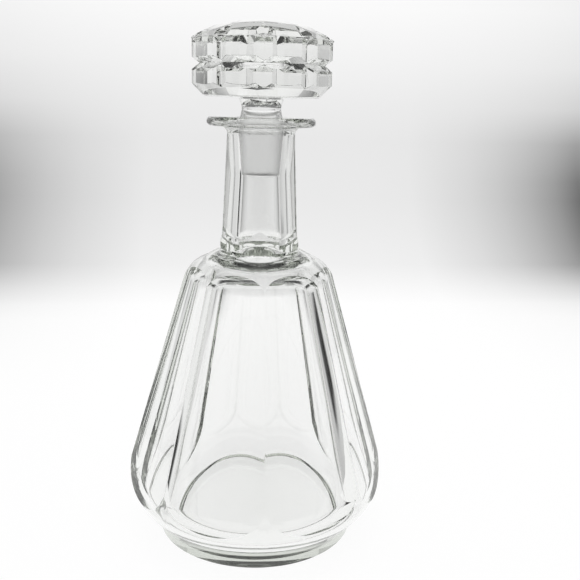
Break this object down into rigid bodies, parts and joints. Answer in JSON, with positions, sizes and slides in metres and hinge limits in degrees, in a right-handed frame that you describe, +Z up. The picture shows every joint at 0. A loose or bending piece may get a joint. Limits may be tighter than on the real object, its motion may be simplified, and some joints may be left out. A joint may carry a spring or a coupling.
{
  "type": "decanter",
  "caption": "Cut crystal decanter for spirits: tapered bottle with flat-cut panels, a slim round neck with a flared lip, and a broad cut stopper that lifts out",
  "frame": {"origin": "On the table under the middle of the foot, on the bottle's axis", "axes": "+Z up along the bottle's axis; -Y is the side seen in the picture, with a ridge between two panels on it; +X to the right"},
  "size_m": [0.1328, 0.1328, 0.2552],
  "materials": {
    "lead_crystal": "clear lead crystal, blown, its body cut flat and polished; the edge of the mouth is ground matt",
    "cut_crystal": "clear lead crystal, pressed solid, cut and polished; the plug is ground matt"
  },
  "bodies": {
    "bottle": {"bottle": "lead_crystal"},
    "stopper": {"stopper": "cut_crystal"}
  },
  "joints": [
    {"name": "stopper_lift", "type": "slide", "parent": "bottle", "child": "stopper", "axis": [0, 0, 1], "range_m": [0, 0.06]}
  ]
}
